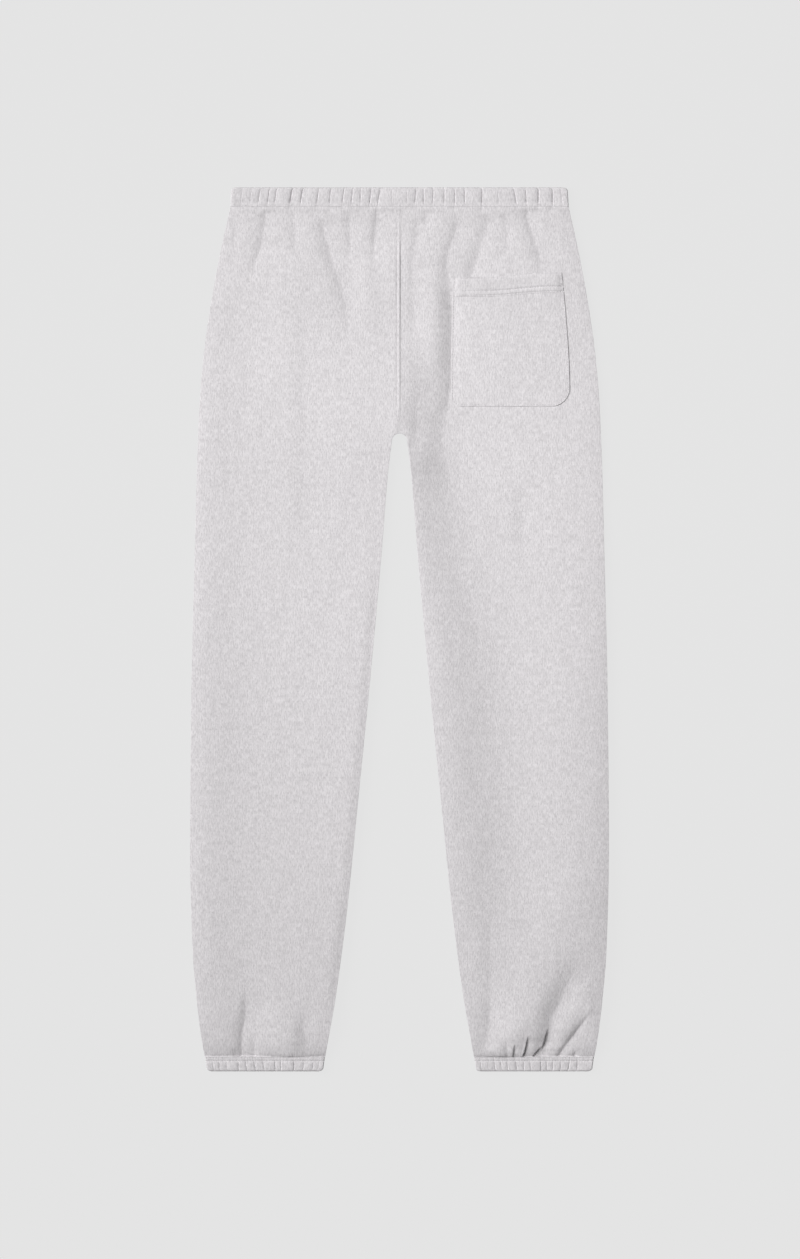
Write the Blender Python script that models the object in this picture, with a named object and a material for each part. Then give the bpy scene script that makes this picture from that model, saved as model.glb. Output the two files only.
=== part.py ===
"""Jogger sweatpants in heavy brushed fleece, laid flat on a surface with the back side up.

Metres, +Z up. The garment lies on z = 0 with its front panels down, the waist towards +Y, and the wearer's
right side towards +X. The origin is the middle of the garment's footprint, on the surface.

Two coordinates describe the cloth: x runs across the garment, and s runs down it from the waist edge.
"""

import math

import bmesh
import bpy
import numpy as np

# Cloth and seams.
LENGTH = 1.043  # waist edge to leg hem
CLOTH = 0.0022  # thickness of one layer of fleece
CASING = 0.0040  # two layers of it, folded and stretched round an elastic
CASING_SLIT = 0.0006  # between the front and the back of a casing, which lie on each other
SEAM_GAP = 0.0003  # between two pieces that are sewn together

# The tubes of elastic casing at the waist and at the leg hems.
WAISTBAND_DEPTH = 0.0225
WAISTBAND_HALF = 0.1982
WAISTBAND_FLARE = 0.0014  # the band is this much wider, on each side, at its seam
CUFF_DEPTH = 0.0172
CUFF_HALF = 0.0684
CUFF_FLARE = 0.0022
CUFF_CENTRE = 0.1587
CASING_CORNER = 0.0045  # round corners where a casing's folded hem meets its sides
CREASE_WIDTH = 0.0025

# How the leg panels lie.
LEG_TOP = WAISTBAND_DEPTH + SEAM_GAP  # s where the leg panels start
LEG_END = LENGTH - CUFF_DEPTH - SEAM_GAP  # s where they end
CROTCH = 0.2903  # s of the crotch point
CROTCH_RADIUS = 0.0090  # the arch between the legs
REST_HEIGHT = 0.0060  # top of the back panels at their edges
LOWEST = 2 * CLOTH + 0.0004  # a trough comes down until the back lies on the front
LEG_CROWN = 0.0006  # the back's slight rise towards the middle of each leg
SIDE_HEIGHT = 0.0030  # where back and front meet along the outseams and inseams
TURN = 0.0030  # how far in from such an edge a panel starts to round towards it
SEAM_LIFT = 0.0012  # how far a thick casing lifts the back panels beside it
SEAM_LIFT_REACH = 0.020

OUTSEAM = (
    # s, half width of the garment
    (0.0225, 0.1995),
    (0.0750, 0.2110),
    (0.1320, 0.2216),
    (0.1880, 0.2299),
    (0.2450, 0.2352),
    (0.3200, 0.2387),
    (0.4270, 0.2416),
    (0.6050, 0.2456),
    (0.7820, 0.2470),
    (0.9000, 0.2441),
    (0.9590, 0.2393),
    (1.0060, 0.2334),
    (1.0260, 0.2297),
)
INSEAM = (
    # s, half the gap between the legs
    (0.2993, 0.0090),
    (0.3390, 0.0138),
    (0.4280, 0.0209),
    (0.6050, 0.0370),
    (0.7230, 0.0488),
    (0.8410, 0.0606),
    (0.9000, 0.0677),
    (0.9590, 0.0759),
    (1.0060, 0.0842),
    (1.0260, 0.0878),
)
FOLDS = (
    # x and s of the top, x and s of the foot, bow of the line, height, width towards -x, width towards +x
    (0.060, 0.020, 0.040, 0.340, 0.008, -0.0020, 0.013, 0.006),  # trough beside the pocket
    (0.038, 0.040, 0.030, 0.300, 0.002, 0.0016, 0.012, 0.014),  # ridge between it and the centre seam
    (0.030, 0.300, 0.098, 1.020, -0.005, 0.0016, 0.013, 0.022),  # inner thigh of the right leg
    (0.054, 0.360, 0.100, 1.000, 0.010, -0.0010, 0.016, 0.038),
    (-0.222, 0.110, -0.222, 0.960, -0.004, 0.0016, 0.013, 0.020),  # outer edge of the left leg
    (-0.186, 0.140, -0.178, 0.980, 0.000, -0.0010, 0.018, 0.038),
    (-0.099, 0.022, -0.072, 0.170, 0.000, -0.0014, 0.009, 0.013),  # left seat
    (-0.166, 0.020, -0.176, 0.110, 0.000, -0.0012, 0.010, 0.012),
    (0.148, 0.018, 0.170, 0.108, 0.000, -0.0012, 0.011, 0.009),  # above the pocket
    (0.236, 0.850, 0.172, 1.040, 0.002, -0.0014, 0.024, 0.010),  # diagonals above the right cuff
    (0.240, 0.890, 0.182, 1.040, -0.004, 0.0016, 0.010, 0.013),
    (-0.186, 0.930, -0.190, 1.040, 0.000, -0.0014, 0.016, 0.008),  # above the left cuff
    (-0.118, 0.980, -0.122, 1.040, 0.000, -0.0010, 0.010, 0.008),
)
FOLD_FADE = 0.25  # of a fold's length, at each of its ends

WAIST_CREASES = (
    # x, depth of a gather pressed into the upper face of the waistband
    (-0.1641, 0.0007),
    (-0.1534, 0.0007),
    (-0.1449, 0.0009),
    (-0.1263, 0.0015),
    (-0.1145, 0.0013),
    (-0.0950, 0.0008),
    (-0.0811, 0.0009),
    (-0.0643, 0.0006),
    (-0.0540, 0.0008),
    (-0.0450, 0.0007),
    (-0.0330, 0.0010),
    (-0.0224, 0.0009),
    (0.0000, 0.0008),
    (0.0202, 0.0007),
    (0.0402, 0.0008),
    (0.0543, 0.0007),
    (0.0655, 0.0007),
    (0.0778, 0.0008),
    (0.0984, 0.0012),
    (0.1370, 0.0010),
    (0.1489, 0.0010),
    (0.1648, 0.0014),
    (0.1816, 0.0013),
)
LEFT_CUFF_CREASES = (
    # x, depth
    (-0.2030, 0.0006),
    (-0.1893, 0.0007),
    (-0.1798, 0.0009),
    (-0.1703, 0.0009),
    (-0.1608, 0.0007),
    (-0.1461, 0.0009),
    (-0.1392, 0.0009),
    (-0.1240, 0.0011),
    (-0.1134, 0.0007),
)
RIGHT_CUFF_CREASES = (
    # x, depth
    (0.1137, 0.0009),
    (0.1210, 0.0007),
    (0.1283, 0.0009),
    (0.1391, 0.0012),
    (0.1469, 0.0007),
    (0.1555, 0.0009),
    (0.1679, 0.0012),
    (0.1740, 0.0009),
    (0.1815, 0.0009),
    (0.1905, 0.0009),
    (0.1995, 0.0011),
    (0.2102, 0.0011),
)

# The patch pocket on the right seat.
POCKET_TOP = 0.1057
POCKET_BOTTOM = 0.2584
POCKET_LEFT_TOP = 0.0631
POCKET_LEFT_LOW = 0.0608
POCKET_RIGHT_TOP = 0.1912
POCKET_RIGHT_LOW = 0.2012
POCKET_CORNER_LEFT = 0.011
POCKET_CORNER_RIGHT = 0.022
POCKET_TILT = 0.0059  # the mouth climbs this much from its left end to its right end
POCKET_TILT_REACH = 0.07
POCKET_HEM = 0.0225  # turned down along the mouth
POCKET_HEM_STEP = 0.0008
POCKET_HEM_CLOTH = 0.0032
POCKET_CLOTH = 0.0020
POCKET_LIFT = 0.0010  # the seat lies this much higher, and flat, under the pocket
POCKET_CALM = 0.010  # folds die out within this distance of the pocket
POCKET_GAP = 0.0004

# How finely the cloth is divided.
BACK_COLUMNS = 13
FRONT_COLUMNS = 2
TURN_COLUMNS = 3
TURN_SHARE = 0.15  # of the parameter across a panel, for each turn
UNDER_COLUMNS = 9
POCKET_COLUMNS = 10
SLOPE_STEP = 1e-5

FLEECE_GREY = (0.700, 0.684, 0.690, 1.0)
POCKET_GREY = (0.705, 0.690, 0.695, 1.0)
CASING_GREY = (0.680, 0.665, 0.670, 1.0)


def smooth_curve(rows):
    """A function through a table's two columns: cubic pieces with slopes that never overshoot."""
    at, value = np.array(rows).T
    secant = np.diff(value) / np.diff(at)
    product = secant[:-1] * secant[1:]
    total = secant[:-1] + secant[1:]
    inner = np.where(product > 0, 2 * product / np.where(total == 0, 1, total), 0)
    slope = np.concatenate([secant[:1], inner, secant[-1:]])

    def curve(s):
        s = np.clip(s, at[0], at[-1])
        i = np.clip(np.searchsorted(at, s) - 1, 0, len(at) - 2)
        width = at[i + 1] - at[i]
        t = (s - at[i]) / width
        start = value[i] * (1 + 2 * t) + slope[i] * width * t
        end = value[i + 1] * (3 - 2 * t) - slope[i + 1] * width * (1 - t)
        return start * (1 - t) ** 2 + end * t**2

    return curve


outseam = smooth_curve(OUTSEAM)
inseam = smooth_curve(INSEAM)


def smooth_step(t):
    """0 up to t = 0, 1 from t = 1, and a smooth climb between them."""
    t = np.clip(t, 0, 1)
    return t * t * (3 - 2 * t)


def inner_edge(s):
    """Half the gap between the legs: nothing above the crotch, then a round arch, then the inseam."""
    below = np.clip(s - CROTCH, 0, CROTCH_RADIUS)
    arch = np.sqrt(CROTCH_RADIUS**2 - (CROTCH_RADIUS - below) ** 2)
    return np.where(s - CROTCH < CROTCH_RADIUS, arch, inseam(s))


def inner_distance(x, s):
    """How far a point of the cloth is from the crotch arch or the inseam."""
    above = CROTCH_RADIUS - (s - CROTCH)
    from_arch = np.hypot(x, above) - CROTCH_RADIUS
    return np.where(above > 0, from_arch, x - inner_edge(s))


def turned(distance):
    """1 on the flat, falling to 0 at the edge along a quarter of an ellipse."""
    short = 1 - np.clip(distance / TURN, 0, 1)
    return np.sqrt(1 - short**2)


def folds(x, s):
    """Height of the folds: each is a soft ridge or trough along a bowed line, fading out at both ends."""
    total = np.zeros(np.broadcast(x, s).shape)
    for x_top, s_top, x_foot, s_foot, bow, height, width_left, width_right in FOLDS:
        t = (s - s_top) / (s_foot - s_top)
        aside = x - (x_top + (x_foot - x_top) * t + 4 * bow * t * (1 - t))
        width = np.where(aside < 0, width_left, width_right)
        fade = smooth_step(t / FOLD_FADE) * smooth_step((1 - t) / FOLD_FADE)
        total += height * fade * np.exp(-((aside / width) ** 2))
    return total


def near_pocket(x, s):
    """1 over the pocket, 0 a little way from it."""
    across = np.maximum(POCKET_LEFT_LOW - x, x - POCKET_RIGHT_LOW)
    along = np.maximum(POCKET_TOP - POCKET_TILT - s, s - POCKET_BOTTOM)
    return 1 - smooth_step(np.maximum(across, along) / POCKET_CALM)


def back_height(x, s):
    """Top of the back cloth, before its edges turn down."""
    edge, side = inner_edge(s), outseam(s)
    across = (np.abs(x) - edge) / (side - edge)
    crown = LEG_CROWN * 4 * across * (1 - across)
    to_casing = np.minimum(s - WAISTBAND_DEPTH, LENGTH - CUFF_DEPTH - s)
    lift = SEAM_LIFT * (1 - smooth_step(to_casing / SEAM_LIFT_REACH))
    calm = near_pocket(x, s)
    height = REST_HEIGHT + crown + lift + folds(x, s) * (1 - calm) + POCKET_LIFT * calm
    return np.maximum(height, LOWEST)


def column_x(u, s):
    """x across a panel, for u from 0 at its inner edge to 1 at the outseam, with closer columns in the turns."""
    edge, side = inner_edge(s), outseam(s)
    above = np.clip(CROTCH_RADIUS - (s - CROTCH), 0, None)
    to_flat = np.sqrt(np.clip((CROTCH_RADIUS + TURN) ** 2 - above**2, 0, None)) - edge
    inner_turn = np.maximum(to_flat, TURN)
    into = np.clip(u / TURN_SHARE, 0, 1)
    crowded = 1 - np.cos(into * math.pi / 2)
    even = np.clip(above / CROTCH_RADIUS, 0, 1)
    inner = edge + inner_turn * (crowded + (into - crowded) * even)
    outer = side - TURN * (1 - np.cos(np.clip((1 - u) / TURN_SHARE, 0, 1) * math.pi / 2))
    start, end = edge + inner_turn, side - TURN
    middle = start + (end - start) * (u - TURN_SHARE) / (1 - 2 * TURN_SHARE)
    return np.where(u < TURN_SHARE, inner, np.where(u > 1 - TURN_SHARE, outer, middle))


def leg_point(u, s, side, back):
    """Outer face of a leg panel, as an array of x, y and z."""
    x = column_x(u, s)
    flat = turned(outseam(s) - x) * turned(inner_distance(x, s))
    if back:
        rim = SIDE_HEIGHT + SEAM_GAP / 2
        z = rim + (back_height(side * x, s) - rim) * flat
    else:
        rim = SIDE_HEIGHT - SEAM_GAP / 2
        z = rim * (1 - flat)
    return np.stack([side * x, LENGTH / 2 - s, z], axis=-1)


def leg_rows():
    """s of each row of a leg panel, close together round the crotch arch."""
    seat = np.linspace(LEG_TOP, CROTCH - TURN, 9)
    over_arch = CROTCH - TURN * (1 - np.sin(np.radians([40, 70, 90])))
    arch = CROTCH + CROTCH_RADIUS * (1 - np.cos(np.radians([30, 60, 90])))
    leg = np.linspace(CROTCH + 0.03, LENGTH - 0.16, 9)
    ankle = np.linspace(LENGTH - 0.13, LEG_END, 6)
    return np.concatenate([seat, over_arch, arch, leg, ankle])


def upward(point, u, s):
    """Unit normals of the surface point(u, s) at a right-hand panel, from its slopes."""
    across = point(np.clip(u + SLOPE_STEP, 0, 1), s) - point(np.clip(u - SLOPE_STEP, 0, 1), s)
    along = point(u, s + SLOPE_STEP) - point(u, s - SLOPE_STEP)
    normal = np.cross(along, across)
    return normal / np.linalg.norm(normal, axis=-1, keepdims=True)


def make_object(name, points, faces, colour):
    """One named object with its faces turned outwards and its own material."""
    mesh = bpy.data.meshes.new(name)
    mesh.from_pydata(points.reshape(-1, 3).tolist(), [], faces)
    shape = bmesh.new()
    shape.from_mesh(mesh)
    bmesh.ops.recalc_face_normals(shape, faces=shape.faces)
    if shape.calc_volume(signed=True) < 0:
        bmesh.ops.reverse_faces(shape, faces=shape.faces)
    bmesh.ops.triangulate(shape, faces=shape.faces)
    shape.to_mesh(mesh)
    shape.free()
    mesh.shade_smooth()
    material = bpy.data.materials.new(name)
    material.use_nodes = True
    shader = material.node_tree.nodes["Principled BSDF"]
    shader.inputs["Base Color"].default_value = colour
    shader.inputs["Roughness"].default_value = 0.95
    shader.inputs["Metallic"].default_value = 0.0
    mesh.materials.append(material)
    bpy.context.scene.collection.objects.link(bpy.data.objects.new(name, mesh))


def make_wall(name, outer, inner, colour):
    """A closed wall between two grids of points with the same rows and columns."""
    rows, columns = outer.shape[:2]
    count = rows * columns
    grid = np.arange(count).reshape(rows, columns)
    faces = []
    for face in (grid, grid[:, ::-1] + count):
        corners = (face[:-1, :-1], face[:-1, 1:], face[1:, 1:], face[1:, :-1])
        faces += np.stack(corners, axis=-1).reshape(-1, 4).tolist()
    rim = np.concatenate([grid[0], grid[1:, -1], grid[-1, -2::-1], grid[-2:0:-1, 0]])
    ahead = np.roll(rim, -1)
    faces += np.stack([rim, ahead, ahead + count, rim + count], axis=-1).tolist()
    make_object(name, np.stack([outer, inner]), faces, colour)


def make_leg(name, side, back):
    """A leg panel: seat and leg in one piece, from the waistband's seam to the cuff's seam."""
    turn = np.linspace(0, TURN_SHARE, TURN_COLUMNS + 1)
    columns = BACK_COLUMNS if back else FRONT_COLUMNS
    middle = np.linspace(TURN_SHARE, 1 - TURN_SHARE, columns + 1)[1:-1]
    u, s = np.meshgrid(np.concatenate([turn, middle, 1 - turn[::-1]]), leg_rows())

    def point(u, s):
        return leg_point(u, s, side, back)

    normal = upward(point, u, s) * (side if back else -side)
    normal[[0, -1], :, 1] = 0  # the ends are cut square
    normal /= np.linalg.norm(normal, axis=-1, keepdims=True)
    outer = point(u, s)
    inner = outer - normal * CLOTH
    for face in (outer, inner):  # the centre seam keeps the two sides apart
        face[..., 0] = side * np.maximum(side * face[..., 0], SEAM_GAP / 2)
    make_wall(name, outer, inner, FLEECE_GREY)


def round_cut(distance, radius):
    """How far a round corner takes an edge in, at a distance from the corner's foot."""
    into = 1 - np.clip(distance / radius, 0, 1)
    return radius * (1 - np.sqrt(1 - into**2))


def make_casing(name, centre, half_width, flare, depth, hem_s, way, creases):
    """A tube of casing pressed flat, gathered on its upper face.

    Its wall's middle line is a long loop: a straight top, a round end, a straight underside and another round
    end. Its section across the wall is a strip with a round folded hem. way is 1 where the seam lies further
    down than the hem, and -1 where it lies further up.
    """
    half = CASING / 2
    bend = half + CASING_SLIT / 2
    straight = half_width - half - bend
    crease_x = np.array([x for x, _ in creases]) - centre
    crests = (crease_x[:-1] + crease_x[1:]) / 2
    ends = np.array([-1, -0.93, 0.96, 1]) * straight
    top = np.sort(np.concatenate([crease_x, crests, ends]))
    under = np.linspace(straight, -straight, UNDER_COLUMNS)
    right = np.array([54, 18, -18, -54])
    middle = np.concatenate([top, np.full(4, straight), under, np.full(4, -straight)])
    angle = np.concatenate([np.full(len(top), 90), right, np.full(len(under), -90), right - 180])
    across, over = np.cos(np.radians(angle))[:, None], np.sin(np.radians(angle))[:, None]
    middle = middle[:, None]

    hem = np.radians([0, 45, 90, 135, 180])
    out = np.concatenate([[half, half], half * np.cos(hem), [-half]])
    up = np.concatenate([[depth, depth / 2], half * (1 - np.sin(hem)), [depth]])

    pressed = np.zeros_like(middle)
    for x, deep in creases:
        pressed += deep * np.exp(-(((middle + centre - x) / CREASE_WIDTH) ** 2))
    pressed = pressed * (over > 0.99) * np.clip(out / half, 0, 1)
    wide = 1 + (flare * up / depth - round_cut(up, CASING_CORNER)) / half_width
    x = centre + (middle + across * (bend + out)) * wide
    y = LENGTH / 2 - (hem_s + way * up) + 0 * middle
    z = half + bend + over * (bend + out - pressed)
    points = np.stack([x, y, z], axis=-1)

    grid = np.arange(x.size).reshape(x.shape)
    ahead, beside = np.roll(grid, -1, axis=0), np.roll(grid, -1, axis=1)
    faces = np.stack([grid, ahead, np.roll(ahead, -1, axis=1), beside], axis=-1).reshape(-1, 4).tolist()
    make_object(name, points, faces, CASING_GREY)


def make_pocket():
    """The patch pocket, made from the points of the seat under it, moved out. Its mouth is turned down as a hem."""
    hem_end = POCKET_TOP + POCKET_HEM
    hem = np.linspace(POCKET_TOP, hem_end, 3)
    bag = np.linspace(hem_end + POCKET_HEM_STEP, POCKET_BOTTOM - POCKET_CORNER_RIGHT, 6)
    corner = POCKET_BOTTOM - POCKET_CORNER_RIGHT * (1 - np.sin(np.radians([25, 50, 70, 90])))
    u, s = np.meshgrid(np.linspace(0, 1, POCKET_COLUMNS + 1), np.concatenate([hem, bag, corner]))
    lean = 1 - ((POCKET_BOTTOM - s) / (POCKET_BOTTOM - POCKET_TOP)) ** 2
    left = POCKET_LEFT_TOP + (POCKET_LEFT_LOW - POCKET_LEFT_TOP) * lean
    right = POCKET_RIGHT_TOP + (POCKET_RIGHT_LOW - POCKET_RIGHT_TOP) * lean
    left += round_cut(POCKET_BOTTOM - s, POCKET_CORNER_LEFT)
    right -= round_cut(POCKET_BOTTOM - s, POCKET_CORNER_RIGHT)
    x = left + (right - left) * u
    cloth = np.where(s < hem_end + POCKET_HEM_STEP / 2, POCKET_HEM_CLOTH, POCKET_CLOTH)
    s = s - POCKET_TILT * u * (1 - smooth_step((s - POCKET_TOP) / POCKET_TILT_REACH))
    under = np.stack([x, LENGTH / 2 - s, back_height(x, s) + POCKET_GAP], axis=-1)
    over = under.copy()
    over[..., 2] += cloth
    make_wall("back_pocket", over, under, POCKET_GREY)


def main():
    for old in list(bpy.data.objects):
        bpy.data.objects.remove(old)
    for side, word in ((-1, "left"), (1, "right")):
        make_leg("back_" + word, side, back=True)
        make_leg("front_" + word, side, back=False)
    make_casing("waistband", 0.0, WAISTBAND_HALF, WAISTBAND_FLARE, WAISTBAND_DEPTH, 0.0, 1, WAIST_CREASES)
    for side, word, creases in ((-1, "left", LEFT_CUFF_CREASES), (1, "right", RIGHT_CUFF_CREASES)):
        centre = side * CUFF_CENTRE
        make_casing("cuff_" + word, centre, CUFF_HALF, CUFF_FLARE, CUFF_DEPTH, LENGTH, -1, creases)
    make_pocket()


main()
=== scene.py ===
import math

import bpy
import numpy as np
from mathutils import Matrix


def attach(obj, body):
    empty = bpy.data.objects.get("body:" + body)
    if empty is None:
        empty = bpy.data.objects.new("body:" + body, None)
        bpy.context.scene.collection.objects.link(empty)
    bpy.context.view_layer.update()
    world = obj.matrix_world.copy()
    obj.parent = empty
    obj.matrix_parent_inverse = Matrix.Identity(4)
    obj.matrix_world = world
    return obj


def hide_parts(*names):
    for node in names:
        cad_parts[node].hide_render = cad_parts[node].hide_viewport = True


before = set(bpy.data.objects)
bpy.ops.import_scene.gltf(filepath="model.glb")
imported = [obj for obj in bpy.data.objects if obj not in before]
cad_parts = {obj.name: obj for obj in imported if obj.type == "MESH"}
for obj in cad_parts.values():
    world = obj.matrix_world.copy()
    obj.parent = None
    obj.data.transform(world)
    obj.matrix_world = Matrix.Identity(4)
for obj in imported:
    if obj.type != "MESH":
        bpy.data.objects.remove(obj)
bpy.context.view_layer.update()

# Jogger sweatpants laid flat, back side up. Metres, the waist towards +Y, the wearer's right towards +X.
# Two coordinates describe the cloth: x across the garment, and s down it from the waist edge.

mm = 0.001

garment = {
    "length": 1.043,  # waist edge to leg hem
    "wall": 0.0022,  # one layer of heavy fleece
    "seamGap": 0.00006,  # between two pieces that are sewn together
    "legTop": 0.0225,  # s where the leg panels start, and where they end
    "legEnd": 1.0258,
    "crotch": 0.2903,
    "crotchRadius": 0.0090,
    "sideHeight": 0.0050,  # where back and front meet along the outseams and inseams
    "outseam": [  # s, half width of the garment
        (0.0225, 0.1995), (0.0750, 0.2110), (0.1320, 0.2216), (0.1880, 0.2299), (0.2450, 0.2352),
        (0.3200, 0.2387), (0.4270, 0.2416), (0.6050, 0.2456), (0.7820, 0.2470), (0.9000, 0.2441),
        (0.9590, 0.2393), (1.0060, 0.2334), (1.0260, 0.2297),
    ],
    "inseam": [  # s, half the gap between the legs
        (0.2993, 0.0090), (0.3390, 0.0138), (0.4280, 0.0209), (0.6050, 0.0370), (0.7230, 0.0488),
        (0.8410, 0.0606), (0.9000, 0.0677), (0.9590, 0.0759), (1.0060, 0.0842), (1.0260, 0.0878),
    ],
}

# Curves and soft shapes that every piece uses.


def curveThrough(rows):
    # Cubic pieces through (place, value) rows. A row's slope is the harmonic mean of the slopes beside it, or
    # nothing where they differ in sign, so the curve never overshoots.
    at, value = np.array(rows, dtype=float).T
    secant = np.diff(value) / np.diff(at)
    product = secant[:-1] * secant[1:]
    total = secant[:-1] + secant[1:]
    inner = np.where(product > 0, 2 * product / np.where(total == 0, 1, total), 0)
    slope = np.concatenate([secant[:1], inner, secant[-1:]])

    def curve(s):
        s = np.clip(s, at[0], at[-1])
        i = np.clip(np.searchsorted(at, s) - 1, 0, len(at) - 2)
        width = at[i + 1] - at[i]
        t = (s - at[i]) / width
        start = value[i] * (1 + 2 * t) + slope[i] * width * t
        end = value[i + 1] * (3 - 2 * t) - slope[i + 1] * width * (1 - t)
        return start * (1 - t) ** 2 + end * t**2

    return curve


outseam = curveThrough(garment["outseam"])
inseam = curveThrough(garment["inseam"])
waistY = garment["length"] / 2  # y of the waist edge, so a point's y is waistY - s
legTop, legEnd = garment["legTop"], garment["legEnd"]
crotch, crotchRadius = garment["crotch"], garment["crotchRadius"]


def smoothStep(t):
    # 0 up to t = 0, 1 from t = 1, and 3t^2 - 2t^3 between them
    t = np.clip(t, 0, 1)
    return t * t * (3 - 2 * t)


def innerEdge(s):
    # Half the gap between the legs: nothing above the crotch, then a quarter circle, then the inseam
    below = np.clip(s - crotch, 0, crotchRadius)
    arch = np.sqrt(crotchRadius**2 - (crotchRadius - below) ** 2)
    return np.where(s - crotch < crotchRadius, arch, inseam(s))


def innerDistance(x, s):
    # Distance of a point of the cloth from the crotch arch or the inseam
    above = crotchRadius - (s - crotch)
    return np.where(above > 0, np.hypot(x, above) - crotchRadius, x - innerEdge(s))


def unit(rows):
    # Every vector made 1 long
    return rows / np.linalg.norm(rows, axis=-1, keepdims=True)


def runAlong(points):
    # The distance run along a path, or along every row of a grid, from 0 at its first point
    step = np.linalg.norm(np.diff(points, axis=-2), axis=-1)
    return np.insert(np.cumsum(step, axis=-1), 0, 0, axis=-1)


def inWidths(aside, left, right):
    # A distance as a share of a width, which differs between its two sides
    return aside / np.where(aside < 0, left, right)


def quarterRound(distance, width, power=2.0):
    # 0 at an edge and 1 at width from it, along a quarter of an ellipse, or squarer for a higher power
    short = 1 - np.clip(distance / width, 0, 1)
    return (1 - short**power) ** (1 / power)


def roundCut(distance, radius):
    # How far a round corner takes an edge in, at a distance from the corner's foot
    into = 1 - np.clip(distance / radius, 0, 1)
    return radius * (1 - np.sqrt(1 - into**2))


# Folds, in millimetres: x and s along the line, top first, then height (below 0 for a trough), widths towards
# -x and +x, how sharp the crest is, and how long it fades in at the top and the foot.

seatFolds = [
    # the crotch, where the seams meet, stands highest and falls away to the right
    ([(-4, 140), (-1, 215), (3, 251), (8, 290), (10, 390)], 7.0, 170, 34, 1.35, 100, 130),
    ([(-1, 244), (-3, 275), (-6, 290), (-12, 308)], 0.6, 9, 8, 2.0, 24, 10),
    ([(-5, 56), (-5, 110), (-6, 170)], 2.0, 22, 46, 1.6, 30, 50),
    # right seat: a roll beside the centre seam, with a long crease between it and the pocket
    ([(44, 80), (43, 112), (43, 150), (41, 236)], 1.4, 15, 11, 2.0, 50, 40),
    ([(24, 34), (22, 46), (21, 53), (19, 68), (15, 86), (15, 112), (16, 150), (17, 205)],
     -1.1, 7, 14, 1.4, 12, 60),
    ([(33, 26), (31, 38), (30, 50)], -1.0, 5, 8, 1.4, 6, 14),
    ([(67, 24), (67, 38), (66, 53), (60, 68), (56, 86), (57, 118)], -1.8, 7, 30, 1.25, 28, 30),
    ([(56, 96), (58, 118), (62.4, 150), (62, 180), (61.5, 215), (58, 251), (53, 285)],
     -3.7, 11, 80, 1.15, 52, 50),
    ([(56, 244), (53, 270), (51, 286), (52, 310), (61, 345), (73, 385)], -3.9, 25, 80, 1.3, 46, 90),
    ([(21, 244), (20, 270), (20, 318)], -0.8, 9, 9, 1.6, 20, 24),
    # above the pocket
    ([(104, 26), (103, 45), (97, 64), (91, 84), (87, 97), (85, 108)], -1.8, 8, 28, 1.4, 20, 5),
    ([(87, 86), (84, 108)], -1.0, 13, 18, 1.4, 8, 5),
    ([(126, 26), (127, 84)], -0.7, 5, 12, 1.4, 8, 30),
    ([(151, 24), (151, 38), (156, 53), (161, 68), (166, 86), (170, 110)], -1.8, 7, 24, 1.3, 6, 34),
    # left seat
    ([(-91, 34), (-89, 53), (-84, 68), (-80, 86), (-72, 109), (-62, 145), (-57, 225)],
     -1.9, 7, 34, 1.4, 14, 140),
    ([(-38, 66), (-38, 130), (-40, 230)], 1.1, 17, 14, 2.0, 40, 100),
    ([(-126, 70), (-124, 150), (-128, 270)], 1.9, 42, 74, 2.0, 40, 80),
    ([(-26, 24), (-27, 38), (-28.5, 53), (-30, 68), (-31, 108)], -1.6, 5, 28, 1.3, 6, 50),
    ([(-59, 25), (-59, 38), (-59, 53), (-58, 70), (-62, 98)], -1.2, 6, 18, 1.3, 8, 40),
    ([(-126, 26), (-124, 53), (-123, 84)], -1.0, 5, 14, 1.4, 8, 30),
    ([(-158, 25), (-158, 38), (-161, 53), (-163, 68), (-169, 86), (-176, 116)], -1.8, 7, 24, 1.3, 6, 46),
    ([(-188, 26), (-194, 60), (-197, 100)], -0.7, 7, 16, 1.4, 8, 40),
]
legFolds = [
    # right leg: the inner thigh stands high, and falls towards a valley down the leg's middle
    ([(2, 284), (3, 320), (5, 345), (13, 416), (24, 487), (33, 560), (38, 600)], 8.8, 5, 42, 2.0, 50, 220),
    ([(24, 400), (39, 540), (47, 640), (56, 740), (66, 841), (76, 888), (80, 912), (84, 947), (86, 1000)],
     7.0, 130, 52, 2.2, 180, 230),
    ([(104, 820), (108, 870), (109, 912), (108, 965), (102, 1010)], -1.3, 12, 44, 1.6, 70, 30),
    ([(212, 300), (216, 560), (216, 700), (214, 790), (207, 841), (196, 888), (181, 912), (165, 945),
      (158, 965)], 4.8, 74, 70, 2.0, 340, 90),
    ([(214, 780), (208, 840), (202, 885)], 1.5, 60, 34, 2.0, 60, 40),
    ([(146, 340), (147, 450)], -0.8, 10, 20, 2.0, 30, 40),
    # left leg
    ([(-228, 90), (-236, 200), (-238, 300), (-238, 500), (-236, 700), (-236, 841), (-238, 900), (-236, 1000)],
     2.4, 80, 38, 2.0, 60, 90),
    ([(-110, 120), (-109, 450)], -0.8, 12, 30, 2.0, 60, 80),
    ([(-22, 400), (-37, 605), (-60, 841), (-76, 959), (-80, 985)], -1.0, 7, 30, 2.0, 120, 60),
]
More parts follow.
